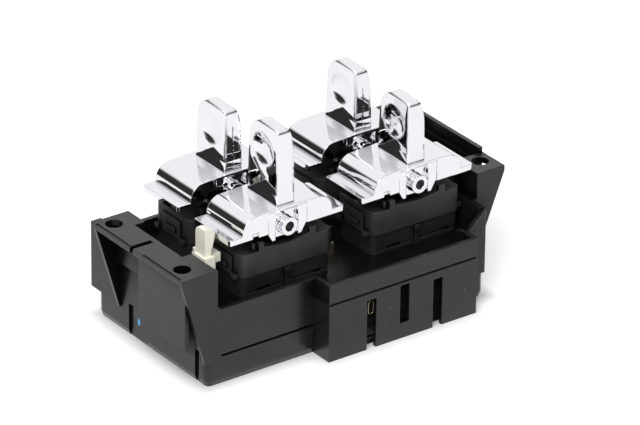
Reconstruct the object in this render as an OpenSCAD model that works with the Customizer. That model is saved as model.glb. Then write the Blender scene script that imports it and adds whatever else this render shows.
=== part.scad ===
// Four-gang rocker switch module: a long moulded housing on four screw ears, a rounded
// bottom cover, a downward-facing connector shroud and four bright levers, each on its
// own switch block. X runs along the module, Y across it and Z up.
// The origin is under the middle of the whole part, on the surface it stands on.

/* [Housing] */
// Length of the housing over its two end walls
body_l = 105.8; // [98:0.2:125]
// Width of the housing over its two long walls
body_w = 63; // [60:0.5:80]
// Thickness of the housing walls
wall = 1.6; // [1.2:0.1:2.2]
// Height of the seam between the housing and the bottom cover
seam_z = 8.2; // [7.4:0.2:10]
// Height of the long walls
wall_z = 25.6; // [23.5:0.2:27]
// Height of the two end walls
end_z = 30.4; // [28.5:0.2:32]
// Height of the seating face of the screw ears
ear_z = 39.2; // [38:0.2:41]
// Radius of the upright corners of the bottom cover
corner_r = 2.2; // [1.6:0.2:4]

/* [Screw ears] */
// Reach of the left ears beyond the end wall
ear_reach_left = 9.1; // [8.6:0.1:14]
// Reach of the right ears beyond the end wall
ear_reach_right = 12; // [11.4:0.1:16]
// Thickness of the ears
ear_t = 2; // [1.4:0.1:3]
// Diameter of the screw holes
screw_hole_d = 5.5; // [4:0.1:6]
// Distance between the two left holes
left_hole_pitch = 36.5; // [34:0.5:40]
// Distance between the two right holes
right_hole_pitch = 44.5; // [40:0.5:46]
// Distance of each hole from the outer edge of its ear
hole_inset = 4.6; // [4:0.1:5.2]
// Thickness of the gussets that carry the ears
gusset_t = 1.4; // [1:0.1:2]

/* [Connector shroud] */
// Length of the shroud
shroud_l = 56.5; // [48:0.5:64]
// Reach of the shroud in front of the long wall
shroud_reach = 7.8; // [5:0.2:12]
// Height of the joint between the shroud and the lip above it
shroud_z = 19.2; // [17:0.2:20]
// Height of the lip on the housing
lip_z = 26.2; // [24.5:0.1:28]
// Thickness of the shroud walls
shroud_wall = 1.4; // [1:0.1:2]
// Depth of the connector sockets from front to back
socket_d = 11; // [9:0.5:13]
// Width of the upright slots in the front wall
slot_w = 3.5; // [2:0.1:5]
// Distance from the left end of the shroud to the wall between its sockets
socket_split = 33.9; // [33:0.2:36]
// Distance from the right end of the shroud to the right end of the housing
shroud_inset = 9.4; // [8.5:0.1:11]

/* [Connector pins] */
// Distance between the pins along a row
pin_pitch = 2.9; // [2.5:0.1:3.1]
// Distance between the two rows of pins
pin_row_pitch = 4; // [3:0.1:5]
// Width of a pin
pin_w = 0.7; // [0.5:0.05:1]
// Height of the pin tips above the surface the module stands on
pin_tip_z = 6; // [4:0.2:9]

/* [Switch blocks] */
// Distance between the left and right levers
lever_pitch_x = 49.4; // [46:0.2:54]
// Distance between the front and rear levers
lever_pitch_y = 27.6; // [24:0.2:32]
// Length of a switch block
block_l = 33.8; // [30:0.2:36]
// Width of a switch block
block_w = 18.6; // [17:0.1:20]
// Height of the joint between the base and the case of a block
block_seam_z = 27.6; // [26:0.2:29]
// Height of the flat top of a case
block_top_z = 35.6; // [34:0.1:36.4]
// Wall thickness of a switch block
block_wall = 1.4; // [1:0.1:2]
// Distance from the middle of the levers to the right end of the housing
levers_from_right = 45.4; // [44.6:0.1:48]

/* [Lamp holder] */
// Length of the lamp holder under its head
lamp_l = 3.9; // [3:0.1:4.2]
// Width of the lamp holder
lamp_w = 5; // [4:0.1:6]
// Height of the top of the lamp holder
lamp_z = 44.6; // [42:0.1:46]

/* [Contact clips] */
// Length of a contact clip
clip_l = 3.6; // [2.5:0.1:4.5]
// Height of a contact clip
clip_h = 4.4; // [3:0.1:5.4]

/* [Levers] */
// Height of the pivot above the surface the module stands on
pivot_z = 41.6; // [41:0.1:43]
// Length of the flange at the foot of a lever
flange_l = 42.8; // [38:0.2:44]
// Width of a lever
lever_w = 19; // [17.5:0.1:21]
// Thickness of the flange
flange_t = 1.9; // [1.2:0.1:2.4]
// Length of the hump over the pivot
hump_l = 33.4; // [30:0.2:36]
// Height of the hump above the flange
hump_h = 6; // [5:0.1:7]
// Height of the tab above the hump
tab_h = 21.2; // [16:0.1:26]
// Extra height of the front left tab
tall_extra = 4.4; // [0:0.1:6]
// Width of the tab
tab_w = 15.4; // [12:0.1:16]
// Thickness of the tab at its foot
tab_foot = 6.5; // [5:0.1:8]
// Thickness of the tab at its top
tab_tip = 4.4; // [3.6:0.1:5]
// Diameter of the finger dimple
dimple_d = 11; // [8:0.1:12]
// Diameter of the pivot pins
pin_d = 3.1; // [2.6:0.1:3.4]
// Angle a lever rocks each way
rock = 9; // [5:0.5:10]

/* [Hidden] */
$fn = 48;
e = 0.01;

// The working frame has its zero between the four levers; these are its main planes.
right_x = levers_from_right;
left_x = right_x - body_l;
front_y = -body_w / 2 - 0.3;
back_y = front_y + body_w;
ear_left_x = left_x - ear_reach_left;
ear_right_x = right_x + ear_reach_right;
shroud_x = right_x - shroud_inset - shroud_l;
shroud_y = front_y - shroud_reach;
shift = [-(ear_left_x + ear_right_x) / 2, -(shroud_y + back_y) / 2, 0];

// Ears
left_hole_front = front_y + 6.6;
left_hole_rear = left_hole_front + left_hole_pitch;
left_rear_end = left_hole_rear + 4.8;
ear_split_y = front_y + 26;
end_grooves = [[left_hole_front - 2.4, left_hole_front - 0.3], [left_hole_rear - 4, left_hole_rear - 1.2]];
ear_gap = 1.9;
right_hole_rear = back_y - 5;
right_hole_front = right_hole_rear - right_hole_pitch;
right_front_end = right_hole_front - 6.6;
tower_wall_x = left_x - wall;
tower_face = 5.3;
face_step = 1.3;
groove_deep = 0.8;
rear_landing = 9;
rib_foot = 9;
gusset_foot = 0.6;
gusset_drop = 1.8;
rail_top = ear_z + 1.7;
rail_ledge = ear_z - 2.2;

// Board, blocks and levers
board_t = 1.6;
board_z = shroud_z;
board_gap = 0.6;
base_z = board_z + board_t;
flange_z = pivot_z + 0.65;
flange_under = flange_z - flange_t;
skirt_z = flange_under - 2.95;
hump_top = flange_z + hump_h;
shell = 1.3;
hump_r = 5.2;
boss_reach = 1.2;
boss_r = 3;
cheek_in = 3.1;
cheek_out = 6.4;
cheek_r = 3.4;
finger_t = 2;
finger_w = 4.6;
ball_r = 1.4;
ball_z = 25.6;
ball_gap = 0.15;
slider_l = 13;
slider_w = 10;
seat = 0.3;
pin_gap = 0.04;
ball_arm = pivot_z - ball_z;
slider_travel = ball_arm * rock * PI / 180;

black = [0.09, 0.09, 0.10];
dark = [0.13, 0.13, 0.135];
ivory = [0.93, 0.89, 0.76];
chrome = [0.82, 0.83, 0.85];
brass = [0.80, 0.68, 0.40];

// ---- shared shapes -------------------------------------------------------------------
module placed() { translate(shift) children(); }

module block(lo, hi) { translate(lo) cube([hi[0] - lo[0], hi[1] - lo[1], hi[2] - lo[2]]); }

// A plate standing across Y, drawn as an outline of X and Z
module upright(y0, t, points) {
  translate([0, y0 + t, 0]) rotate([90, 0, 0]) linear_extrude(t) polygon(points);
}

// A plate with rounded upright corners
module rounded_plate(lo, hi, r) {
  translate([0, 0, lo[2]]) linear_extrude(hi[2] - lo[2]) union() {
    translate([lo[0] + r, lo[1]]) square([hi[0] - lo[0] - 2 * r, hi[1] - lo[1]]);
    translate([lo[0], lo[1] + r]) square([hi[0] - lo[0], hi[1] - lo[1] - 2 * r]);
    for (x = [lo[0] + r, hi[0] - r], y = [lo[1] + r, hi[1] - r]) translate([x, y]) circle(r);
  }
}

module at_lever(side, row) {
  translate([side * lever_pitch_x / 2, row * lever_pitch_y / 2, 0]) children();
}

// ---- housing -------------------------------------------------------------------------
module tray_walls() {
  rise = 7.8;
  low_z = wall_z - 2.2;
  shroud_end = shroud_x + shroud_l;
  face_end = left_x + tower_face - face_step;
  groove_z = seam_z + 1.2;
  difference() {
    union() {
      rounded_plate([left_x, front_y, seam_z], [right_x, back_y, end_z], 0.5);
      block([shroud_x, shroud_y, shroud_z], [shroud_end, front_y + wall, lip_z]);
    }
    // inside of the tray
    block([left_x + wall, front_y + wall, 0], [right_x - wall, back_y - wall, ear_z]);
    // inside of the lip, open to the tray
    block([shroud_x + shroud_wall, shroud_y + shroud_wall, shroud_z - e],
          [shroud_end - shroud_wall, front_y + wall + e, ear_z]);
    // the long walls are lower than the end walls, lowest on the right, where they climb back
    for (y = [front_y - e, back_y - wall - e])
      upright(y, wall + 2 * e, [[face_end, end_z + 1], [face_end, wall_z + 1.2],
        [left_x + tower_face, wall_z],
        [shroud_end, wall_z], [shroud_end, low_z], [right_x - rise, low_z], [right_x, end_z],
        [right_x, end_z + 1]]);
    // shadow grooves: one along the front wall over the seam, one under the lip
    block([left_x + tower_face, front_y - e, groove_z], [shroud_x + e, front_y + 0.6, groove_z + 0.8]);
    block([shroud_x - e, shroud_y - e, shroud_z - e], [shroud_end + e, shroud_y + 0.5, shroud_z + 0.9]);
    // grooves that run up the left end from the cover
    for (g = end_grooves) block([left_x - e, g[0], seam_z - e], [left_x + groove_deep, g[1], seam_z + 2.8]);
    // room for the connector sockets under the front wall
    block([shroud_x - e, front_y - e, 0],
          [shroud_end + e, front_y + wall + e, shroud_z]);
  }
}

// Ledges inside the walls that carry the board, and the floor strips that meet the cover
module board_ledges() {
  lx = left_x + wall - e;
  rx = right_x - wall + e;
  by = back_y - wall + e;
  side_start = front_y + wall + 14;
  block([lx, back_y - wall - 3, board_z - 2], [rx, by, board_z]);
  for (x = [lx, rx - 2]) block([x, side_start, board_z - 2], [x + 2, by, board_z]);
  block([lx, cover_back - wall, seam_z], [rx, by, seam_z + wall]);
  block([cover_right - wall, front_y + wall - e, seam_z], [rx, by, seam_z + wall]);
}

module left_towers() {
  inner_front = left_x + 3.7;
  inner_rear = left_x + 4;
  widen_front = front_y + 13.4;
  widen_rear = left_rear_end - rear_landing;
  top = ear_z - ear_t;
  face_x = ear_left_x + 2;
  face_z = seam_z + 6.2;
  // gussets: wide under the ears, running down to the end wall at the seam
  foot = left_x - gusset_foot;
  upright(front_y, gusset_t, [[ear_left_x, ear_z], [ear_left_x, ear_z - gusset_drop], [foot, seam_z],
    [left_x + tower_face, seam_z], [left_x + tower_face, wall_z],
    [left_x + tower_face - face_step, wall_z + 1.2], [left_x + tower_face - face_step, ear_z]]);
  upright(left_rear_end - 1.8, gusset_t, [[ear_left_x, ear_z - e], [ear_left_x, ear_z - gusset_drop],
    [foot, seam_z], [left_x + e, seam_z], [left_x + e, ear_z - e]]);
  difference() {
    union() {
      // ear plates, each with a wider landing round its hole
      block([ear_left_x, front_y, top], [left_x, ear_split_y, ear_z]);
      block([left_x - e, front_y, top], [inner_front, widen_front, ear_z]);
      block([ear_left_x, ear_split_y + ear_gap, top], [left_x, left_rear_end, ear_z]);
      block([left_x - e, widen_rear, top], [inner_rear, left_rear_end, ear_z]);
      // wall behind the pockets, on the end wall
      block([tower_wall_x, front_y, end_z - 6], [left_x + 0.2, left_rear_end, ear_z]);
      // walls under the inner edges of the landings
      block([inner_front - 1.4, front_y, wall_z], [inner_front, widen_front, ear_z]);
      block([left_x, widen_front - 1.4, wall_z - 4], [inner_front, widen_front, ear_z]);
      block([left_x, widen_rear, wall_z - 4], [inner_rear, widen_rear + 1.4, ear_z]);
      // closed face of the front tower and its side
      block([face_x, front_y + gusset_t - e, face_z], [face_x + 1.5, ear_split_y, ear_z - e]);
      block([face_x, ear_split_y - 1.4, face_z], [left_x + e, ear_split_y, ear_z - e]);
    }
    for (y = [left_hole_front, left_hole_rear]) translate([ear_left_x + hole_inset, y, top - e])
      cylinder(d = screw_hole_d, h = ear_t + 2 * e);
    // shallow rebate along the outer edge of the ears
    rebate_x = ear_left_x + 0.7;
    rebate_z = ear_z - 0.25;
    block([ear_left_x - e, front_y - e, rebate_z], [rebate_x, ear_split_y - 5, ear_z + e]);
    block([ear_left_x - e, ear_split_y + ear_gap - e, rebate_z], [rebate_x, left_rear_end + e, ear_z + e]);
  }
}

module right_towers() {
  inner = right_x + 1.3;
  widen = right_front_end + 11.5;
  rear = right_hole_rear - 5.6;
  top = ear_z - ear_t;
  foot = right_x + gusset_foot;
  shelf = end_z - wall;
  tower = [[right_x - e, seam_z], [foot, seam_z], [ear_right_x, ear_z - gusset_drop],
    [ear_right_x, ear_z - e], [inner, ear_z - e], [inner, end_z], [right_x - e, end_z]];
  upright(right_front_end, gusset_t, tower);
  upright(back_y - gusset_t, gusset_t, tower);
  // ribs under the shelf between the two towers
  rib_z = seam_z + rib_foot;
  rib_x = foot + 2.6;
  rib_top_x = rib_x + (shelf - rib_z) * 0.29;
  for (y = [widen, rear]) upright(y - gusset_t / 2, gusset_t,
    [[right_x - e, rib_z], [rib_x, rib_z], [rib_top_x, shelf + e], [right_x - e, shelf + e]]);
  // shelf: narrow under the ears, so that their screws pass, and wide between them
  block([right_x - e, right_front_end, shelf], [inner + 1.4, back_y, end_z]);
  block([right_x - e, widen, shelf], [ear_right_x - 2.2, rear, end_z]);
  // ledge and rail between the ears
  block([ear_right_x - 2.6, widen, shelf], [ear_right_x - 1.3, rear, rail_ledge]);
  block([ear_right_x - 1.5, widen - e, ear_z - gusset_drop - 6], [ear_right_x, rear + e, rail_top]);
  difference() {
    union() {
      block([inner, right_front_end, top], [ear_right_x, widen, ear_z]);
      block([inner, rear, top], [ear_right_x, back_y, ear_z]);
      block([inner, right_front_end, end_z - e], [inner + 1.4, widen, ear_z]);
      block([inner, rear, end_z - e], [inner + 1.4, back_y, ear_z]);
    }
    for (y = [right_hole_front, right_hole_rear]) translate([ear_right_x - hole_inset, y, top - e])
      cylinder(d = screw_hole_d, h = ear_t + 2 * e);
  }
}

// Bosses that take the screws of the bottom cover
cover_screw_at = [[left_x + 12, front_y + 7], [left_x + 12, back_y - 12], [right_x - 7, back_y - 12]];
module screw_bosses() {
  for (p = cover_screw_at) translate([p[0], p[1], seam_z]) difference() {
    cylinder(d = boss_d, h = board_z - seam_z);
    translate([0, 0, -e]) cylinder(d = screw_d, h = board_z - seam_z - 1);
  }
}

module housing() {
  color(black) placed() {
    tray_walls();
    board_ledges();
    left_towers();
    right_towers();
    for (p = cover_screw_at) boss_web(p);
    screw_bosses();
  }
}

// Web that joins a screw boss to the nearest long wall
module boss_web(p) {
  near_front = p[1] < 0;
  y0 = near_front ? front_y + wall - e : p[1] + 2.5;
  y1 = near_front ? p[1] - 2.5 : back_y - wall + e;
  block([p[0] - 0.7, y0, seam_z], [p[0] + 0.7, y1, board_z]);
}

// ---- bottom cover --------------------------------------------------------------------
cover_back = back_y - 4.2;
cover_right = right_x - 0.5;
cover_floor = 2;
socket_back = shroud_y + socket_d + 2 * shroud_wall;
screw_head_h = 0.75;
screw_head_z = 0.25;
screw_seat_z = screw_head_z + screw_head_h;
screw_d = 2.4;
screw_head_d = 5.4;
boss_d = 6.4;
screw_gap = 0.02;
module bottom_cover() {
  r = corner_r;
  color(black) placed() difference() {
    union() {
      difference() {
        hull() {
          for (x = [left_x + r, cover_right - r], y = [front_y + r, cover_back - r]) translate([x, y, 0]) {
            translate([0, 0, r]) sphere(r, $fn = 32);
            translate([0, 0, r]) cylinder(r = r, h = seam_z - r, $fn = 32);
            cylinder(r = r * 0.7, h = e, $fn = 32);
          }
        }
        rounded_plate([left_x + wall, front_y + wall, cover_floor],
          [cover_right - wall, cover_back - wall, seam_z + 1], r * 0.3);
        block([left_x - 1, front_y - 1, seam_z], [right_x, back_y, seam_z + 2 * r]);
      }
      // posts for the screws
      for (p = cover_screw_at) translate([p[0], p[1], cover_floor - e])
        cylinder(d = boss_d, h = seam_z - cover_floor + e);
    }
    // room for the connector sockets
    side_gap = 0.2;
    block([shroud_x - side_gap, front_y - 5, -1],
      [shroud_x + shroud_l + side_gap, socket_back + side_gap, seam_z + 1]);
    // upright grooves in the left end, and the shallow panel between them
    for (g = end_grooves) block([left_x - e, g[0], -e], [left_x + groove_deep, g[1], seam_z + 1]);
    block([left_x - e, end_grooves[1][0] - 7, -e], [left_x + 0.4, end_grooves[1][0] + e, seam_z + 1]);
    // screw holes, opened out for the heads
    for (p = cover_screw_at) translate([p[0], p[1], -e]) {
      cylinder(d = screw_d + 0.8, h = seam_z + 1);
      cylinder(d = screw_head_d + 0.6, h = screw_seat_z + e);
    }
  }
}

module cover_screws() {
  color(chrome) placed() for (p = cover_screw_at) translate([p[0], p[1], screw_head_z]) {
    cylinder(d = screw_head_d, h = screw_head_h);
    cylinder(d = screw_d - 2 * screw_gap, h = board_z - 4);
  }
}

// ---- connector shroud, pins and board ------------------------------------------------
slot_x = [for (part = [0.253, 0.476, 0.701]) shroud_x + shroud_l * part];
slot_lo = [-1, 5.4, -1];
slot_hi = [shroud_z - 2.2, shroud_z - 0.8, shroud_z - 2.5];
socket_wall_x = shroud_x + socket_split;
socket_x = [[shroud_x + shroud_wall, socket_wall_x - shroud_wall / 2],
  [socket_wall_x + shroud_wall / 2, shroud_x + shroud_l - shroud_wall]];
module connector_shroud() {
  x1 = shroud_x + shroud_l;
  color(black) placed() difference() {
    block([shroud_x, shroud_y, 0], [x1, socket_back, shroud_z]);
    for (s = socket_x)
      block([s[0], shroud_y + shroud_wall, -e], [s[1], socket_back - shroud_wall, shroud_z - shroud_wall]);
    for (i = [0:2]) block([slot_x[i], shroud_y - e, slot_lo[i]],
      [slot_x[i] + slot_w, shroud_y + shroud_wall + e, slot_hi[i]]);
    for (p = pin_at) translate([p[0], p[1], 0]) cylinder(d = 1.1, h = shroud_z + e);
  }
}

pin_cols = [9, 6];
pin_at = [for (i = [0, 1], c = [0:pin_cols[i] - 1], r = [-0.5, 0.5])
  [(socket_x[i][0] + socket_x[i][1]) / 2 + (c - (pin_cols[i] - 1) / 2) * pin_pitch,
   (shroud_y + socket_back) / 2 + r * pin_row_pitch]];
module connector_pins() {
  color(brass) placed() for (p = pin_at) translate([p[0] - pin_w / 2, p[1] - pin_w / 2, pin_tip_z])
    cube([pin_w, pin_w, board_z - pin_tip_z]);
}

module circuit_board() {
  g = board_gap;
  in = shroud_wall + g;
  color([0.13, 0.30, 0.16]) placed() {
    block([left_x + wall + g, front_y + wall + g, board_z], [right_x - wall - g, back_y - wall - g, base_z]);
    // tongue over the connector sockets
    block([shroud_x + in, shroud_y + in, board_z], [shroud_x + shroud_l - in, front_y + wall + 1, base_z]);
  }
}

// Ivory lamp holder in the bay beside the front left block: a stepped foot on the board and
// a tapered head whose sloping top stands just clear of the lever
lamp_gap = 0.4;
lamp_x = -lever_pitch_x / 2 - flange_l / 2 - lamp_gap;
lamp_y = -lever_pitch_y / 2 - 2.4;
module lamp_holder() {
  neck_z = lamp_z - 8.4;
  foot_z = lamp_z - 9.6;
  step_z = foot_z - 6;
  waist = 1.4;
  head_r = 2.8;
  color(ivory) placed() translate([lamp_x - lamp_l, lamp_y, 0]) {
    // foot
    block([-0.6, -1, base_z], [lamp_l - 0.6, lamp_w, foot_z]);
    // collar towards the block
    block([0.4, 0.6, foot_z - 3.2], [lamp_l + 2.4, lamp_w - 0.4, foot_z - 0.2]);
    // steps behind the head
    block([0, lamp_w - e, step_z], [lamp_l - waist, lamp_w + 1.3, neck_z - 0.2]);
    block([0.3, lamp_w, step_z], [lamp_l - waist - 0.3, lamp_w + 2.3, neck_z - 2.2]);
    // tapered head with a rounded rear shoulder
    intersection() {
      upright(0, lamp_w, [[0, foot_z - e], [lamp_l - waist, foot_z - e], [lamp_l - waist, neck_z],
        [lamp_l, lamp_z - 2.6], [lamp_l - 0.2, lamp_z - 1.6], [0.6, lamp_z], [0, lamp_z - 0.5]]);
      rotate([90, 0, 90]) translate([0, 0, -1]) linear_extrude(lamp_l + 2) union() {
        translate([-e, foot_z - 1]) square([lamp_w - head_r + e, lamp_z - foot_z + 2]);
        translate([-e, foot_z - 1]) square([lamp_w + e, lamp_z - head_r - foot_z + 1]);
        translate([lamp_w - head_r, lamp_z - head_r]) circle(head_r);
      }
    }
  }
}

// Pressed contact clips on the board, in the gap between the blocks
module contact_clips() {
  leaf = 0.6;
  tail = 3;
  step = [5.6, 9];
  color(brass) placed() for (i = [0, 1]) translate([-4.6 + i * step[0], -15 + i * step[1], base_z]) {
    cube([clip_l, leaf, clip_h]);
    cube([clip_l, tail, leaf - 0.1]);
    translate([clip_l / 2 - 0.4, 0, clip_h - leaf + 0.1]) cube([0.8, tail - leaf, leaf - 0.1]);
  }
}

// ---- switch blocks -------------------------------------------------------------------
block_r = 2.2;
groove_z = base_z + 1.7;
module base(side, row) {
  bw = block_wall;
  hl = block_l / 2 - 0.3;
  hw = block_w / 2 - 0.3;
  nub_z = block_seam_z - 0.4;
  color(dark) placed() at_lever(side, row) difference() {
    union() {
      rounded_plate([-hl, -hw, base_z], [hl, hw, block_seam_z], block_r);
      // rib and nub on the middle of each long side
      for (f = [-1, 1]) {
        block([-0.6, f * hw - 0.35, base_z], [0.6, f * hw + 0.35, nub_z]);
        block([-1, f * hw - 0.9, nub_z - 1.8], [1, f * hw + 0.9, nub_z]);
      }
    }
    rounded_plate([-hl + bw, -hw + bw, base_z + bw], [hl - bw, hw - bw, block_seam_z + 1], block_r - bw);
    // moulding groove along the long sides and two pockets in it
    for (f = [-1, 1]) {
      block([-hl - 1, f * hw - 0.2, groove_z - 0.2], [hl + 1, f * hw + 0.2, groove_z + 0.2]);
      block([-11, f * hw - 0.7, groove_z - 0.5], [-6, f * hw + 0.7, groove_z + 0.5]);
      block([10, f * hw - 0.7, groove_z - 0.5], [13, f * hw + 0.7, groove_z + 0.5]);
    }
  }
}

stop_z = block_top_z + 2.6;
arc_half = 8.5;
arc_dip = 1;
lug_reach = 1.5;
lug_h = 1.5;
module case(side, row) {
  bw = block_wall;
  hl = block_l / 2;
  hw = block_w / 2;
  post_y = hw - 1.5;
  lug_y = hw - 2.6;
  arc_r = (arc_half * arc_half + arc_dip * arc_dip) / (2 * arc_dip);
  color(dark) placed() at_lever(side, row) difference() {
    union() {
      rounded_plate([-hl, -hw, block_seam_z], [hl, hw, block_top_z], block_r);
      for (s = [-1, 1]) {
        y0 = s > 0 ? cheek_in : -cheek_out;
        // cheek that holds the pivot pin
        block([-cheek_r, y0, block_top_z - 1], [cheek_r, y0 + cheek_out - cheek_in, pivot_z]);
        translate([0, y0, pivot_z]) rotate([-90, 0, 0]) cylinder(r = cheek_r, h = cheek_out - cheek_in);
        // rim over the long wall, between the stops
        y1 = s > 0 ? hw - bw : -hw;
        block([-arc_half - e, y1, block_top_z - e], [arc_half + e, y1 + bw, block_top_z + arc_dip]);
        // stops that end the rocking, and the thin post beside the left one
        block([-arc_half - 1.9, y1, block_top_z - e], [-arc_half, y1 + bw, stop_z]);
        block([arc_half, y1, block_top_z - e], [arc_half + 2.4, y1 + bw, stop_z]);
        translate([-arc_half - 3.25, s * post_y, (block_top_z + stop_z) / 2 - 0.1])
          cube([0.9, 1.2, stop_z - block_top_z], center = true);
        // lugs over the seam, on the two ends
        for (f = [-1, 1]) translate([f * (hl + lug_reach / 2 - 0.5), s * lug_y, block_seam_z + lug_h / 2])
          cube([lug_reach + 1, 2, lug_h], center = true);
      }
      // raised plate and its latch on the left end
      block([-hl - 0.5, -hw + 4.5, block_seam_z], [-hl + e, hw - 4.5, block_top_z - 1.6]);
      block([-hl - 1, -2.6, block_seam_z + 2], [-hl + e, 2.6, block_seam_z + 3.4]);
    }
    rounded_plate([-hl + bw, -hw + bw, block_seam_z - 1],
      [hl - bw, hw - bw, block_top_z - bw], block_r - bw);
    // opening for the finger of the lever
    block([-5, -cheek_in, block_top_z - bw - 1], [5, cheek_in, block_top_z + 1]);
    // the rim is hollowed between the stops, so that the lever clears it
    for (s = [-1, 1]) intersection() {
      translate([0, s * hw, block_top_z + arc_r]) rotate([90, 0, 0])
        cylinder(r = arc_r, h = 2 * bw + 2 * e, center = true);
      block([-arc_half, -hw - 1, block_top_z - e], [arc_half, hw + 1, block_top_z + arc_dip + 1]);
    }
    translate([0, -block_w, pivot_z]) rotate([-90, 0, 0]) cylinder(d = pin_d + 2 * pin_gap, h = 2 * block_w);
  }
}

module slider(side, row) {
  z0 = base_z + block_wall + seat;
  color([0.85, 0.85, 0.82]) placed() at_lever(side, row) difference() {
    block([-slider_l / 2, -slider_w / 2, z0], [slider_l / 2, slider_w / 2, ball_z + 2.2]);
    block([-ball_r - ball_gap, -finger_w / 2 - 0.4, z0 + 1],
      [ball_r + ball_gap, finger_w / 2 + 0.4, ball_z + 3]);
  }
}

module pivot_pin(side, row) {
  color([0.62, 0.62, 0.64]) placed() at_lever(side, row)
    translate([0, -lever_w / 2 + 0.7, pivot_z]) rotate([-90, 0, 0]) cylinder(d = pin_d, h = lever_w - 1.4);
}

// ---- levers --------------------------------------------------------------------------
// Outline of the hump seen from the front: a gentle crown between two rounded shoulders
module hump_outline(grow) {
  hl = hump_l / 2 - grow;
  top = hump_top - grow;
  r = hump_r - grow;
  crown = 160;
  flat = hl - r;
  drop = flat * flat / (2 * crown);
  low = flange_under + 0.3;
  union() {
    intersection() {
      translate([0, top - crown]) circle(crown, $fn = 180);
      translate([-flat, low]) square([2 * flat, top - low + 1]);
    }
    for (s = [-1, 1]) intersection() {
      translate([s * flat, top - drop - r]) circle(r);
      translate([-hl, low]) square([2 * hl, top - low]);
    }
    translate([-hl, low]) square([2 * hl, top - drop - r - low]);
  }
}

// Finger tab: upright left face with the dimple, right face curving in towards the tip, front
// edge upright, rear edge leaning and rolling over with a large radius
module tab(extra) {
  z0 = hump_top - 1.2;
  z1 = hump_top + tab_h + extra;
  x0 = -3.2;
  lean = 0.25;
  front = -lever_w / 2 + 1.3;
  rear = front + tab_w;
  rear_r = 7;
  front_r = 1.2;
  roll_y = rear - 0.5 - rear_r;
  roll_z = z1 - rear_r;
  corner_z = z1 - 0.8 - front_r;
  crown_r = 65;
  back_r = 20;
  bend_z = z1 - 9;
  depth = 1.5;
  ball = (dimple_d * dimple_d / 4 + depth * depth) / (2 * depth);
  mid = front + tab_w / 2;
  difference() {
    intersection() {
      // seen from the front
      translate([0, rear, 0]) rotate([90, 0, 0]) linear_extrude(tab_w) union() {
        polygon([[x0, z0], [x0 + tab_foot, z0], [x0 + tab_foot - lean, bend_z], [x0 + lean, bend_z]]);
        intersection() {
          translate([x0 + tab_foot - lean - back_r, bend_z]) circle(back_r, $fn = 180);
          polygon([[x0 + lean, bend_z - e], [x0 + tab_foot, bend_z - e], [x0 + tab_foot, z1 - 2],
            [x0 + lean + tab_tip, z1], [x0 + lean + 0.7, z1], [x0 + lean, z1 - 0.7]]);
        }
      }
      // seen from the left
      rotate([90, 0, 90]) translate([0, 0, -20]) linear_extrude(40) intersection() {
        translate([roll_y + 2.4, z1 - crown_r]) circle(crown_r, $fn = 180);
        union() {
          polygon([[front, z0 - 1], [rear, z0 - 1], [roll_y + rear_r, roll_z], [front, roll_z]]);
          translate([roll_y, roll_z]) circle(rear_r);
          translate([front, roll_z - e]) square([roll_y - front, corner_z - roll_z + e]);
          translate([front + front_r, roll_z - e]) square([roll_y - front - front_r, rear_r + e]);
          translate([front + front_r, corner_z]) circle(front_r);
        }
      }
    }
    translate([x0 + lean / 2 - ball + depth, mid, bend_z]) rotate([0, 90, 0]) sphere(ball, $fn = 96);
  }
}

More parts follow.
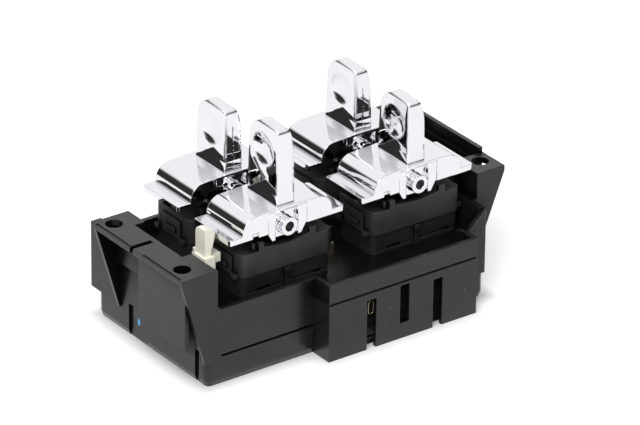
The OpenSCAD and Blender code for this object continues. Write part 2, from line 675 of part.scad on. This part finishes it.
module lever(side, row, extra) {
  hl = flange_l / 2;
  hw = lever_w / 2;
  in_w = hw - shell;
  panel_in = cheek_out + seat;
  window = 4.2;
  window_depth = 1.8;
  notch_x = [-12.8, -10.6];
  color(chrome) placed() at_lever(side, row) difference() {
    union() {
      difference() {
        union() {
          translate([0, hw, 0]) rotate([90, 0, 0]) linear_extrude(lever_w) hump_outline(0);
          rounded_plate([-hl, -hw, flange_under], [hl, hw, flange_z], 0.8);
          // skirts at the ends of the pivot
          for (f = [-1, 1]) upright(f > 0 ? in_w : -hw, shell,
            [[-5.4, skirt_z], [5.4, skirt_z], [7.1, flange_under + e], [-7.1, flange_under + e]]);
          tab(extra);
        }
        // hollow under the hump
        translate([0, in_w, 0]) rotate([90, 0, 0]) linear_extrude(2 * in_w) hump_outline(shell);
        block([-hump_l / 2 + shell, -in_w, skirt_z - 1], [hump_l / 2 - shell, in_w, flange_under + 1.6]);
      }
      // thicker wall behind each window
      for (f = [-1, 1]) translate([0, f * (hw + panel_in) / 2, (skirt_z + hump_top - shell) / 2])
        cube([2 * window + 2.4, hw - panel_in - 0.2, hump_top - shell - skirt_z], center = true);
    }
    for (f = [-1, 1]) {
      // window over the pivot boss, open at the skirt
      block([-window, f * hw - window_depth, skirt_z - 1], [window, f * hw + window_depth, hump_top - 1.4]);
      // shallow step under the crown
      block([-7, f * hw - 0.3, skirt_z - 1], [7.4, f * hw + 0.3, hump_top - 0.9]);
      // notch in the edge of the flange
      block([notch_x[0], f * hw - 1.1, flange_under - 1], [notch_x[1], f * hw + 1.1, flange_z - 0.2]);
    }
    translate([0, -lever_w, pivot_z]) rotate([-90, 0, 0]) cylinder(d = pin_d + 2 * pin_gap, h = 2 * lever_w);
  }
  // pivot bosses, proud of the end panels, each with a web to the corner of its window
  color(chrome) placed() at_lever(side, row) difference() {
    for (f = [-1, 1]) {
      translate([0, f * (hw + boss_reach + panel_in) / 2, pivot_z]) rotate([90, 0, 0])
        cylinder(r = boss_r, h = hw + boss_reach - panel_in, center = true);
      translate([0, f * (hw + panel_in) / 2, pivot_z]) rotate([0, -135, 0])
        translate([boss_r + 0.4, 0, 0]) cube([4.6, hw - panel_in - 0.2, 1], center = true);
    }
    translate([0, -lever_w, pivot_z]) rotate([-90, 0, 0]) cylinder(d = pin_d + 2 * pin_gap, h = 2 * lever_w);
  }
  // finger that drives the slider
  color(chrome) placed() at_lever(side, row) difference() {
    union() {
      block([-finger_t / 2, -finger_w / 2, ball_z], [finger_t / 2, finger_w / 2, hump_top - shell + 0.2]);
      translate([0, -finger_w / 2, ball_z]) rotate([-90, 0, 0]) cylinder(r = ball_r, h = finger_w);
      translate([0, -finger_w / 2, pivot_z]) rotate([-90, 0, 0]) cylinder(r = 3, h = finger_w);
    }
    translate([0, -lever_w, pivot_z]) rotate([-90, 0, 0]) cylinder(d = pin_d + 2 * pin_gap, h = 2 * lever_w);
  }
}

module lever_front_left() { lever(-1, -1, tall_extra); }
module lever_rear_left() { lever(-1, 1, 0); }
module lever_front_right() { lever(1, -1, 0); }
module lever_rear_right() { lever(1, 1, 0); }

housing();
bottom_cover();
connector_shroud();
connector_pins();
circuit_board();
lamp_holder();
contact_clips();
cover_screws();
lever_front_left();
lever_rear_left();
lever_front_right();
lever_rear_right();
case(-1, -1);  // case_front_left
case(-1, 1);  // case_rear_left
case(1, -1);  // case_front_right
case(1, 1);  // case_rear_right
base(-1, -1);  // base_front_left
base(-1, 1);  // base_rear_left
base(1, -1);  // base_front_right
base(1, 1);  // base_rear_right
pivot_pin(-1, -1);  // pivot_pin_front_left
pivot_pin(-1, 1);  // pivot_pin_rear_left
pivot_pin(1, -1);  // pivot_pin_front_right
pivot_pin(1, 1);  // pivot_pin_rear_right
slider(-1, -1);  // slider_front_left
slider(-1, 1);  // slider_rear_left
slider(1, -1);  // slider_front_right
slider(1, 1);  // slider_rear_right
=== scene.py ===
import math

import bmesh
import bpy
from mathutils import Matrix, Vector


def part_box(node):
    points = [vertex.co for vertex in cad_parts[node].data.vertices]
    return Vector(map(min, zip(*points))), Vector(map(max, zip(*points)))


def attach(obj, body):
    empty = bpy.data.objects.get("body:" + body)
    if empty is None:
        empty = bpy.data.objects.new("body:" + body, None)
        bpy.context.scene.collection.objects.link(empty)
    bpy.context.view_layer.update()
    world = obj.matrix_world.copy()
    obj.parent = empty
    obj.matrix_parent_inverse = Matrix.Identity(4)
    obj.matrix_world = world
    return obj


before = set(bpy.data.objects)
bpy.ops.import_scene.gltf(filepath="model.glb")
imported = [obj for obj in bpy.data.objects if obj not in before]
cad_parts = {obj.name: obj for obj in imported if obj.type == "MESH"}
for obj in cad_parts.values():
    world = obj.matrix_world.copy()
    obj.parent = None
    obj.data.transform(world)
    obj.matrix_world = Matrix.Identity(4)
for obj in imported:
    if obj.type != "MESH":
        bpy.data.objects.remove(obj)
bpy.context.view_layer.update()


# ---- housing --------------------------------------------------------------------------
# The upper moulding: tray, screw ears, gussets and lip, in one shot of gloss black nylon.
# It keeps a faint grain and a little workshop dust. Painted highlights lighten its edges and
# painted shade darkens its pockets.
MM = 0.001


class Paint:
    """Wraps one shader socket: sums written on it add Math nodes, and node() adds any other."""

    def __init__(self, tree, socket):
        self.tree = tree
        self.socket = socket

    def node(self, kind, settings=None, inputs=None, output=0):
        new = self.tree.nodes.new(kind)
        for key, value in (settings or {}).items():
            setattr(new, key, value)
        for key, value in (inputs or {}).items():
            if isinstance(value, Paint):
                self.tree.links.new(value.socket, new.inputs[key])
            else:
                new.inputs[key].default_value = value
        return Paint(self.tree, new.outputs[output])

    def math(self, operation, a, b):
        return self.node("ShaderNodeMath", {"operation": operation}, {0: a, 1: b})

    def vector(self, operation, a, b=(0, 0, 0), output=0):
        return self.node("ShaderNodeVectorMath", {"operation": operation}, {0: a, 1: b}, output)

    def __add__(self, other):
        return self.math("ADD", self, other)

    def __radd__(self, other):
        return self.math("ADD", other, self)

    def __sub__(self, other):
        return self.math("SUBTRACT", self, other)

    def __rsub__(self, other):
        return self.math("SUBTRACT", other, self)

    def __mul__(self, other):
        return self.math("MULTIPLY", self, other)

    def __rmul__(self, other):
        return self.math("MULTIPLY", other, self)

    def __abs__(self):
        return self.math("ABSOLUTE", self, 0)

    def axis(self, letter):
        return self.node("ShaderNodeSeparateXYZ", {}, {0: self}, letter)

    def noise(self, grain_mm, detail=2.0):
        """Cloudy pattern whose lumps are about grain_mm across."""
        return self.node("ShaderNodeTexNoise", {},
                         {"Vector": self, "Scale": 1 / (grain_mm * MM), "Detail": detail})

    def blend(self, dark, light):
        """Colour that runs from dark to light as this value runs from 0 to 1."""
        if not isinstance(dark, Paint):
            dark = (*dark, 1)
        return self.node("ShaderNodeMix", {"data_type": "RGBA"},
                         {0: self, 6: dark, 7: (*light, 1)}, 2)

    def between(self, low, high):
        """0 below low, 1 above high, and a straight slope in the middle."""
        return self.node("ShaderNodeMapRange", {}, {"Value": self, 1: low, 2: high})

    def bump(self, height_mm, **inputs):
        """The normal of a surface that this value raises by height_mm."""
        return self.node("ShaderNodeBump", {},
                         {"Strength": 1.0, "Distance": height_mm * MM, "Height": self, **inputs})


def new_finish(name):
    """A new material, its shader, and the object's own coordinates to paint it with."""
    material = bpy.data.materials.new(name)
    material.use_nodes = True
    tree = material.node_tree
    shader = tree.nodes["Principled BSDF"]
    place = Paint(tree, tree.nodes.new("ShaderNodeTexCoord").outputs["Object"])
    return material, shader, place


def connect(shader, **sockets):
    for name, value in sockets.items():
        socket = shader.inputs[name.replace("_", " ")]
        if isinstance(value, Paint):
            value.tree.links.new(value.socket, socket)
        else:
            socket.default_value = value


def rounded_edges(place, radius_mm):
    """The normal of the surface with its sharp edges rounded off."""
    return place.node("ShaderNodeBevel", {"samples": 6}, {"Radius": radius_mm * MM})


def painted_edge_highlight(place, rounded):
    """Painted highlight mask: 1 right on the edges that were rounded off, and 0 on the faces
    beside them.
    """
    flat = place.node("ShaderNodeNewGeometry", {}, {}, "Normal")
    facing = place.vector("DOT_PRODUCT", rounded, flat, "Value")
    return (1 - facing).between(0.02, 0.2)


def painted_pocket_shade(place, reach_mm):
    """Painted shade mask: 0 deep in a pocket or under a ledge of the same moulding, 1 in the
    open.
    """
    open_sky = place.node("ShaderNodeAmbientOcclusion", {"only_local": True, "samples": 8},
                          {"Distance": reach_mm * MM}, "AO")
    return open_sky.between(0.5, 0.97)


PAINTED_SHADE_REACH_MM = 20
CLOUD_MM = 9
SMEAR_MM = 2.4
DUST_PATCH_MM = 7
SPECKS_PER_METRE = 210
SPECK_RADIUS = 0.045
SPECK_SOFTNESS = 0.02
DUST_COLOUR = (0.30, 0.30, 0.29)
CLOUD_SHARE, EDGE_HIGHLIGHT_SHARE, PLAIN_SHARE = 0.35, 0.6, 0.35
SMEAR_ROUGHNESS, CLOUD_ROUGHNESS = 0.08, 0.04
# what smears and clouds add to the roughness between them, on average
MEAN_ROUGHNESS = 0.06


def moulded_plastic(name, dark, light, roughness, grain_mm, grain_height_mm, edge_mm):
    material, shader, place = new_finish(name)
    rounded = rounded_edges(place, edge_mm)
    # painted shade: ambient occlusion of the moulding's own mesh marks its pockets and the space
    # under its ledges
    unshaded = painted_pocket_shade(place, PAINTED_SHADE_REACH_MM)
    cloud = place.noise(CLOUD_MM, 3)
    smear = place.noise(SMEAR_MM, 4)
    speck = place.node("ShaderNodeTexVoronoi", {},
                       {"Vector": place, "Scale": SPECKS_PER_METRE, "Randomness": 1.0})
    dusty = place.noise(DUST_PATCH_MM, 0).between(0.5, 0.6)
    dust = (SPECK_RADIUS - speck).between(0, SPECK_SOFTNESS) * dusty
    edge_highlight = painted_edge_highlight(place, rounded)
    # painted light in the base colour: the edges are lightened as painted highlights, and
    # pockets are darkened to the dark colour as painted shade
    tone = (cloud.between(0.3, 0.7) * CLOUD_SHARE + edge_highlight * EDGE_HIGHLIGHT_SHARE + PLAIN_SHARE) * unshaded
    connect(shader, Base_Color=dust.blend(tone.blend(dark, light), DUST_COLOUR),
            Roughness=smear * SMEAR_ROUGHNESS + cloud * CLOUD_ROUGHNESS
            + (roughness - MEAN_ROUGHNESS),
            Normal=place.noise(grain_mm, 2).bump(grain_height_mm, Normal=rounded))
    # painted shade: deep in pockets and under ledges the gloss gives way to a dark, matt shader
    # that hardly reflects, standing in for the shade there
    painted_shade_shader = place.node("ShaderNodeBsdfPrincipled", {},
                      {"Base Color": (*dark, 1), "Roughness": 0.8, "Specular IOR Level": 0.05})
    gloss = Paint(place.tree, shader.outputs[0])
    finish = place.node("ShaderNodeMixShader", {}, {0: unshaded, 1: painted_shade_shader, 2: gloss})
    place.tree.links.new(finish.socket, place.tree.nodes["Material Output"].inputs["Surface"])
    return material


def dress(node, material):
    for index in range(len(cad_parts[node].data.materials)):
        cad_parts[node].data.materials[index] = material


housing_plastic = moulded_plastic(
    "housing_plastic", dark=(0.002, 0.002, 0.002), light=(0.018, 0.018, 0.0185),
    roughness=0.26, grain_mm=0.22, grain_height_mm=0.002, edge_mm=0.35)
dress("housing", housing_plastic)

# ---- bottom cover, connector shroud and cover screws ----------------------------------
# Two more mouldings in the same black nylon. The cover is held by zinc-plated screws, which
# sit sunk in its underside.
dress("bottom_cover", housing_plastic)
dress("connector_shroud", housing_plastic)

screw_zinc, shader, place = new_finish("screw_zinc")
stain = place.noise(1.1, 3)
connect(shader, Base_Color=stain.blend((0.42, 0.42, 0.43), (0.60, 0.60, 0.58)), Metallic=1.0,
        Roughness=stain * 0.25 + 0.22, Normal=rounded_edges(place, 0.1))
dress("cover_screws", screw_zinc)

# ---- terminal guides ------------------------------------------------------------------
# Upright black walls that part the sockets behind the three slots of the shroud. Those behind
# the first two slots stop short over a gap. They are moulded in one with the shroud.
def start_piece(name):
    """Names the primitive just added and opens it for editing, with its place in its mesh."""
    piece = bpy.context.object
    piece.name = name
    bpy.ops.object.transform_apply(location=True, rotation=True, scale=True)
    bpy.ops.object.mode_set(mode="EDIT")
    return piece


def pick(piece, kind, test):
    """Selects only the edges or faces that pass the test."""
    bpy.ops.mesh.select_mode(type=kind[:-1].upper())
    bpy.ops.mesh.select_all(action="DESELECT")
    shape = bmesh.from_edit_mesh(piece.data)
    for part in getattr(shape, kind):
        part.select_set(test(part))
    bmesh.update_edit_mesh(piece.data)


def finish_piece(piece, material, smooth_angle=35):
    bpy.ops.object.mode_set(mode="OBJECT")
    bpy.ops.object.shade_smooth_by_angle(angle=math.radians(smooth_angle))
    piece.data.materials.append(material)
    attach(piece, "module")
    bpy.ops.object.select_all(action="DESELECT")


shroud_low, shroud_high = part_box("connector_shroud")
SLOT_1, SLOT_2, SLOT_3 = (shroud_low[0] + share * (shroud_high[0] - shroud_low[0])
                          for share in (0.253, 0.476, 0.701))
GUIDE_ASIDE = 3.6 * MM
GUIDE_WIDE, GUIDE_DEEP = 4.6 * MM, 1.5 * MM
GUIDE_ROUND = 0.6 * MM
guide_y = shroud_low[1] + 3.4 * MM
# each guide's slot, and the heights of its foot and top in millimetres
GUIDES = [(SLOT_1, 5.5, 17.0), (SLOT_1, 0.2, 2.3), (SLOT_2, 5.7, 17.0), (SLOT_2, 0.2, 4.0),
          (SLOT_3, 0.2, 17.0)]


def upright_front(edge):
    low, high = (corner.co for corner in edge.verts)
    upright = abs(low.z - high.z) > 0.9 * edge.calc_length()
    return upright and max(low.y, high.y) < guide_y


bpy.ops.object.select_all(action="DESELECT")
for number, (slot_x, foot, top) in enumerate(GUIDES, 1):
    bpy.ops.mesh.primitive_cube_add(
        size=1, location=(slot_x + GUIDE_ASIDE, guide_y, (foot + top) / 2 * MM),
        scale=(GUIDE_WIDE, GUIDE_DEEP, (top - foot) * MM))
    guide = start_piece("terminal_guide_%d" % number)
    pick(guide, "edges", upright_front)
    bpy.ops.mesh.bevel(offset=GUIDE_ROUND, segments=5)
    pick(guide, "faces", lambda face: face.normal.y < -0.99)
    bpy.ops.mesh.inset(thickness=0.5 * MM)
    bpy.ops.transform.translate(value=(0, 0.35 * MM, 0))
    finish_piece(guide, housing_plastic)

# ---- circuit board, connector pins and contact clips ----------------------------------
# The board is laminate with a dark solder mask, and lies on ledges in the tray. Its pins and
# clips are stamped from brass and dull tinned.
board_mask, shader, place = new_finish("board_mask")
weave = place.noise(0.5, 2)
blotch = place.noise(14, 3)
connect(shader, Base_Color=blotch.blend((0.0015, 0.0018, 0.0015), (0.003, 0.0035, 0.003)),
        Roughness=weave * 0.2 + 0.25, Specular_IOR_Level=0.25, Normal=weave.bump(0.004))
dress("circuit_board", board_mask)

tinned_brass, shader, place = new_finish("tinned_brass")
tarnish = place.noise(1.6, 4)
connect(shader, Base_Color=tarnish.blend((0.50, 0.40, 0.22), (0.80, 0.72, 0.52)), Metallic=1.0,
        Roughness=tarnish * 0.25 + 0.2, Normal=rounded_edges(place, 0.08))
dress("connector_pins", tinned_brass)
dress("contact_clips", tinned_brass)

# ---- wire contact ---------------------------------------------------------------------
# One bent loop of the same brass wire, which hangs from its pin in front of the guide and
# shows through the first slot.
WIRE_MIDDLE = 11.8 * MM
WIRE_STRETCH = 2.4 * MM
bpy.ops.mesh.primitive_torus_add(
    location=(SLOT_1 + 2.9 * MM, shroud_low[1] + 2.1 * MM, WIRE_MIDDLE),
    rotation=(math.pi / 2, 0, 0), major_radius=0.95 * MM, minor_radius=0.13 * MM,
    major_segments=36, minor_segments=10)
wire = start_piece("wire_contact")
pick(wire, "faces", lambda face: face.calc_center_median().z > WIRE_MIDDLE)
bpy.ops.transform.translate(value=(0.15 * MM, 0, WIRE_STRETCH))
finish_piece(wire, tinned_brass, 60)

# ---- lamp holder ----------------------------------------------------------------------
# A small ivory nylon moulding that carries the lamp beside the front left block. Light
# sinks a little way into it.
ivory_nylon, shader, place = new_finish("ivory_nylon")
cloud = place.noise(3, 3)
connect(shader, Base_Color=cloud.blend((0.95, 0.91, 0.75), (0.97, 0.95, 0.85)),
        Roughness=cloud * 0.2 + 0.3, Subsurface_Weight=0.15,
        Subsurface_Radius=(0.6 * MM, 0.45 * MM, 0.3 * MM),
        Normal=place.noise(0.6).bump(0.006, Normal=rounded_edges(place, 0.5)))
dress("lamp_holder", ivory_nylon)

# ---- paint dab ------------------------------------------------------------------------
# A dab of blue inspection paint on the left face of the cover. It was put on with a brush
# tip, and sagged a little before it dried.
DAB_ACROSS, DAB_UP = 9.4 * MM, 6.6 * MM
DAB_SIZE = (0.16 * MM, 0.62 * MM, 1.05 * MM)
DAB_SAG = (0, -0.12 * MM, -0.25 * MM)
dab_paint, shader, place = new_finish("dab_paint")
pool = place.noise(0.7, 2)
connect(shader, Base_Color=pool.blend((0.03, 0.34, 0.78), (0.10, 0.50, 0.92)),
        Roughness=pool * 0.2 + 0.25, Normal=pool.bump(0.02))
outside = Vector((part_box("bottom_cover")[0][0] - 10 * MM, DAB_ACROSS, DAB_UP))
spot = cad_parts["bottom_cover"].ray_cast(outside, Vector((1, 0, 0)))[1]
bpy.ops.mesh.primitive_uv_sphere_add(segments=32, ring_count=16, radius=1, location=spot,
                                     scale=DAB_SIZE)
dab = start_piece("paint_dab")
pick(dab, "faces", lambda face: face.calc_center_median().z < spot.z - 0.2 * MM)
bpy.ops.transform.translate(value=DAB_SAG)
finish_piece(dab, dab_paint, 60)

# ---- switch blocks --------------------------------------------------------------------
# Each block is a case snapped over a base, in a drier black with a spark-eroded texture,
# and carries a pale slider that the lever drives.
WHERE = ["front_left", "rear_left", "front_right", "rear_right"]
case_plastic = moulded_plastic(
    "case_plastic", dark=(0.004, 0.004, 0.004), light=(0.052, 0.052, 0.051),
    roughness=0.50, grain_mm=0.30, grain_height_mm=0.010, edge_mm=0.35)
base_plastic = moulded_plastic(
    "base_plastic", dark=(0.003, 0.003, 0.003), light=(0.028, 0.028, 0.028),
    roughness=0.45, grain_mm=0.30, grain_height_mm=0.006, edge_mm=0.35)
slider_acetal, shader, place = new_finish("slider_acetal")
connect(shader, Base_Color=place.noise(2, 2).blend((0.62, 0.62, 0.58), (0.74, 0.74, 0.70)),
        Roughness=place.noise(0.8) * 0.2 + 0.35, Normal=rounded_edges(place, 0.2))
for where in WHERE:
    dress("case_" + where, case_plastic)
    dress("base_" + where, base_plastic)
    dress("slider_" + where, slider_acetal)

# ---- levers and pivot pins ------------------------------------------------------------
# The levers are plated plastic: mirror bright, with the faint waviness of the moulding. The
# pins they rock on are dark oiled steel.
SHORT_TAB = 20.8 * MM
TAB_BLEND = 3 * MM
EDGE_MM, TAB_EDGE_MM = 0.3, 1.1
CROWN_REACH = 8 * MM
WAVE_MM = 0.02
CROWN, SEAM = 30, 1.1
bright_chrome, shader, place = new_finish("bright_chrome")
tab_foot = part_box("lever_rear_left")[1][2] - SHORT_TAB
on_tab = place.axis("Z").between(tab_foot, tab_foot + TAB_BLEND)
# the tabs have rounder edges than the flange and the hump
rounded = place.node("ShaderNodeBevel", {"samples": 8},
                     {"Radius": (on_tab * TAB_EDGE_MM + EDGE_MM) * MM})
# the two halves of the mould leave a fine line down the middle of each tab and hump
seam = 1
for side in ("left", "right"):
    low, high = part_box("lever_front_" + side)
    off_line = abs(place.axis("X") - (low[0] + high[0]) / 2)
    seam = seam * off_line.between(0.05 * MM, 0.28 * MM)
# the broad faces of the tabs are slightly crowned
crown = on_tab
for row in ("front", "rear"):
    low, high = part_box("lever_%s_left" % row)
    off_middle = abs(place.axis("Y") - (low[1] + high[1]) / 2).between(0, CROWN_REACH)
    crown = crown * (off_middle * off_middle)
haze = place.noise(4, 4)
ripple = place.noise(5, 1)
connect(shader, Base_Color=haze.blend((0.88, 0.88, 0.92), (0.93, 0.93, 0.95)), Metallic=1.0,
        Roughness=haze.between(0.45, 0.8) * 0.05 + 0.02,
        Normal=(ripple - seam * SEAM - crown * CROWN).bump(WAVE_MM, Normal=rounded))

pin_steel, shader, place = new_finish("pin_steel")
turning = place.noise(0.5, 3)
connect(shader, Base_Color=turning.blend((0.02, 0.02, 0.021), (0.05, 0.05, 0.052)), Metallic=1.0,
        Roughness=turning * 0.2 + 0.22, Normal=rounded_edges(place, 0.1))
for where in WHERE:
    dress("lever_" + where, bright_chrome)
    dress("pivot_pin_" + where, pin_steel)

# ---- table ----------------------------------------------------------------------------
# A pale paper table. For camera rays it glows evenly, except for a painted shadow under the
# footprints of the cover and the shroud. For glossy rays it glows more in a painted pool of
# light round the module.
TABLE_SIZE = 8
PAPER = (0.80, 0.80, 0.80)
PAINTED_SHADOW_REACH_MM = 5
PAINTED_POOL_REACH_MM = 14
SEEN_GLOW, PAINTED_POOL_GLOW, FAR_GLOW = 0.34, 0.28, 0.02


def under(place, node, soft_mm):
    """0 on the table below a node's footprint, rising to 1 at soft_mm outside it."""
    low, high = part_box(node)
    middle = [(a + b) / 2 for a, b in zip(low, high)]
    half_x, half_y = (high[0] - low[0]) / 2, (high[1] - low[1]) / 2
    away = place.vector("ABSOLUTE", place.vector("SUBTRACT", place, middle))
    away = place.vector("MAXIMUM", place.vector("SUBTRACT", away, (half_x, half_y, 0)))
    gap = place.vector("LENGTH", place.vector("MULTIPLY", away, (1, 1, 0)), output="Value")
    return gap.between(0, soft_mm * MM)


bpy.ops.object.select_all(action="DESELECT")
bpy.ops.mesh.primitive_plane_add(size=TABLE_SIZE)
table = bpy.context.object
table.name = "table_top"
paper, shader, place = new_finish("table_paper")
seen = place.node("ShaderNodeLightPath", {}, {}, "Is Camera Ray")
mirrored = place.node("ShaderNodeLightPath", {}, {}, "Is Glossy Ray")
# painted shadow: the glow for camera rays drops to 0.3 under the shroud and to 0 under the
# cover, fading in within a few millimetres of their footprints
painted_shroud_shadow = under(place, "connector_shroud", PAINTED_SHADOW_REACH_MM) * 0.7 + 0.3
outside_painted_shadow = under(place, "bottom_cover", PAINTED_SHADOW_REACH_MM) * painted_shroud_shadow
# painted pool of light: near the module the table glows more for glossy rays, which brightens
# the module's reflection of the table near its foot
painted_glow_pool = 1 - (under(place, "bottom_cover", PAINTED_POOL_REACH_MM)
             * under(place, "connector_shroud", PAINTED_POOL_REACH_MM))
glow = seen * outside_painted_shadow * SEEN_GLOW + mirrored * (painted_glow_pool * PAINTED_POOL_GLOW + FAR_GLOW)
connect(shader, Base_Color=(*PAPER, 1), Roughness=0.9, Specular_IOR_Level=0.1,
        Emission_Color=glow.blend((0, 0, 0), (1, 1, 1)), Emission_Strength=1.0)
table.data.materials.append(paper)

# ---- light ----------------------------------------------------------------------------
# A light tent with a roof, a back sweep and a low front panel. Between them it is open, which
# gives the plating its dark lines. One softbox stands at the front left.
SWEEP_WAY = (0.593, 0.805, 0)
TENT_LEVEL, OPEN_LEVEL = 0.91, 0.03
PANEL_LEVEL = 0.8
SOFTBOX_PLACE = (-0.9, -0.7, 1.3)
SOFTBOX_SIZE = 0.9
SOFTBOX_WATTS = 18

world = bpy.data.worlds.new("tent")
bpy.context.scene.world = world
world.use_nodes = True
tree = world.node_tree
sky = Paint(tree, tree.nodes.new("ShaderNodeTexCoord").outputs["Generated"])
up = sky.axis("Z")
ahead = sky.vector("DOT_PRODUCT", sky, SWEEP_WAY, "Value")
sweep = ahead.between(0.70, 0.80)
panel = (0 - ahead).between(0.70, 0.80) * up.between(0.10, 0.20) * PANEL_LEVEL
roof = up.between(0.42, 0.55)
tent = sky.math("MAXIMUM", roof, sky.math("MAXIMUM", sweep, panel)) * TENT_LEVEL + OPEN_LEVEL
seen = sky.node("ShaderNodeLightPath", {}, {}, "Is Camera Ray")
shade = sky.math("MAXIMUM", tent, seen).blend((0, 0, 0), (1, 1, 1))
tree.links.new(shade.socket, tree.nodes["Background"].inputs["Color"])

lamp = bpy.data.lights.new("key_softbox", "AREA")
lamp.energy = SOFTBOX_WATTS
lamp.size = SOFTBOX_SIZE
softbox = bpy.data.objects.new("key_softbox", lamp)
bpy.context.collection.objects.link(softbox)
softbox.location = SOFTBOX_PLACE
softbox.rotation_euler = Vector(SOFTBOX_PLACE).to_track_quat("Z", "Y").to_euler()

# ---- camera ---------------------------------------------------------------------------
# A long lens at the front left, a little above the levers, which looks down on the module
# and is rolled by less than a degree.
AZIMUTH, ELEVATION, ROLL = math.radians(-36.36), math.radians(26.92), math.radians(0.734)
AIM = Vector((13.438, 3.631, 34.25)) * MM
CAMERA_DISTANCE = 1.6901
lens = bpy.data.cameras.new("long_lens")
lens.lens = 306.4
lens.sensor_width = 36
lens.shift_x = -0.0137
lens.shift_y = -0.0327
lens.clip_end = 50
turn = (Matrix.Rotation(AZIMUTH, 4, "Z") @ Matrix.Rotation(math.pi / 2 - ELEVATION, 4, "X")
        @ Matrix.Rotation(ROLL, 4, "Z"))
camera = bpy.data.objects.new("long_lens", lens)
bpy.context.collection.objects.link(camera)
camera.location = AIM + turn.to_3x3() @ Vector((0, 0, CAMERA_DISTANCE))
camera.rotation_euler = turn.to_euler()
bpy.context.scene.camera = camera
bpy.context.scene.view_settings.view_transform = "Standard"
